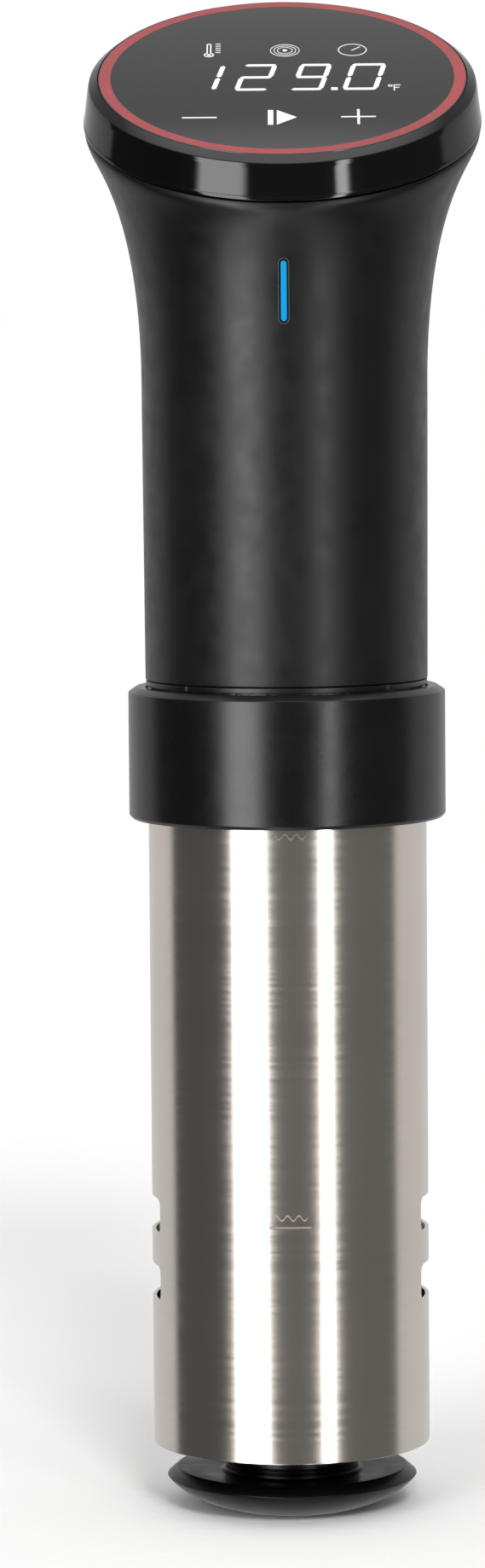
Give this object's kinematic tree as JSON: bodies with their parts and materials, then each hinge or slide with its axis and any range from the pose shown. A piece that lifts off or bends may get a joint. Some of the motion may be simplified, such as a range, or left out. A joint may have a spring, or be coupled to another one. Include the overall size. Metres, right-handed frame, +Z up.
{
  "type": "sous vide circulator",
  "caption": "Upright immersion circulator: tilted touch display on a flared handle, clamp ring, slotted steel skirt with heater and pump, and twist-off base cap.",
  "frame": {"origin": "centre of the flat under the base cap, on the tube's axis", "axes": "+Z up along the tube, -Y towards the user and the low side of the display, +X to the user's right"},
  "size_m": [0.085, 0.1474, 0.3251],
  "materials": {
    "handle_black": "fine matte",
    "gloss_black": "polished",
    "cap_black": "satin gloss",
    "clamp_black": "satin, finely grained",
    "ring_black": "satin",
    "dark_glass": "polished",
    "accent_red": "satin",
    "filter_black": "satin",
    "steel": "brushed around the tube",
    "inner_steel": "satin",
    "screw_steel": "machined",
    "motor_steel": "zinc plated",
    "copper_winding": "lacquered wire",
    "bearing_bronze": "sintered",
    "seal_rubber": "matte",
    "pump_plastic": "moulded",
    "frame_plastic": "moulded",
    "board_green": "solder mask",
    "part_dark": "moulded",
    "relay_blue": "moulded",
    "status_blue": "lit light pipe",
    "knob_black": "satin"
  },
  "bodies": {
    "appliance": {"display_glass": "dark_glass", "accent_ring": "accent_red", "display_filter": "filter_black", "head_band": "gloss_black", "head_gasket": "seal_rubber", "digit_module": "part_dark", "display_board": "board_green", "display_carrier": "frame_plastic", "display_screws": "screw_steel", "buzzer": "part_dark", "handle_shell": "handle_black", "status_light_pipe": "status_blue", "status_led_board": "board_green", "cord_gland": "seal_rubber", "chassis_frame": "frame_plastic", "chassis_screws": "screw_steel", "power_board": "board_green", "bulk_capacitor": "part_dark", "power_transformer": "part_dark", "heater_relay": "relay_blue", "terminal_block": "part_dark", "wireless_board": "board_green", "handle_end_ring": "ring_black", "motor_plate": "motor_steel", "motor_screws": "screw_steel", "motor_can": "motor_steel", "motor_winding": "copper_winding", "motor_bearings": "bearing_bronze", "shaft_seal": "seal_rubber", "shaft_tube": "inner_steel", "pump_bushing": "pump_plastic", "pump_housing": "pump_plastic", "heater_flange": "inner_steel", "skirt_seal": "seal_rubber", "heater_element": "inner_steel", "temperature_probe": "inner_steel", "low_level_rod": "inner_steel", "high_level_rod": "inner_steel", "support_rods": "inner_steel"},
    "drive": {"drive_shaft": "inner_steel", "motor_rotor": "motor_steel", "cooling_fan": "pump_plastic", "impeller": "pump_plastic"},
    "skirt": {"steel_skirt": "steel"},
    "cap": {"base_cap": "cap_black"},
    "clamp_sleeve": {"clamp_liner": "seal_rubber"},
    "clamp": {"clamp_ring": "clamp_black", "clamp_bracket": "clamp_black", "bracket_screws": "screw_steel", "jaw_pad": "seal_rubber"},
    "pressure_pad": {"clamp_pad": "knob_black"},
    "thumb_screw": {"clamp_screw": "screw_steel", "clamp_knob": "knob_black"}
  },
  "joints": [
    {"name": "drive_spin", "type": "hinge", "parent": "appliance", "child": "drive", "pos_m": [0, 0, 0.2], "axis": [0, 0, 1], "continuous": true},
    {"name": "skirt_slide", "type": "slide", "parent": "appliance", "child": "skirt", "axis": [0, 0, -1], "range_m": [0, 0.165]},
    {"name": "cap_twist", "type": "hinge", "parent": "appliance", "child": "cap", "pos_m": [0, 0, 0.017], "axis": [0, 0, 1], "range_deg": [0, 30]},
    {"name": "clamp_slide", "type": "slide", "parent": "appliance", "child": "clamp_sleeve", "axis": [0, 0, -1], "range_m": [0, 0.075]},
    {"name": "clamp_swivel", "type": "hinge", "parent": "clamp_sleeve", "child": "clamp", "pos_m": [0, 0, 0.164], "axis": [0, 0, 1], "continuous": true},
    {"name": "pad_slide", "type": "slide", "parent": "clamp", "child": "pressure_pad", "axis": [0, 1, 0], "range_m": [-0.0105, 0.0095]},
    {"name": "screw_turn", "type": "hinge", "parent": "pressure_pad", "child": "thumb_screw", "pos_m": [0, 0.08, 0.124], "axis": [0, 1, 0], "range_deg": [-1895, 1715]}
  ],
  "couplings": [
    {"joint": "screw_turn", "follows": "pad_slide", "rad_per_m": 3141.6}
  ]
}
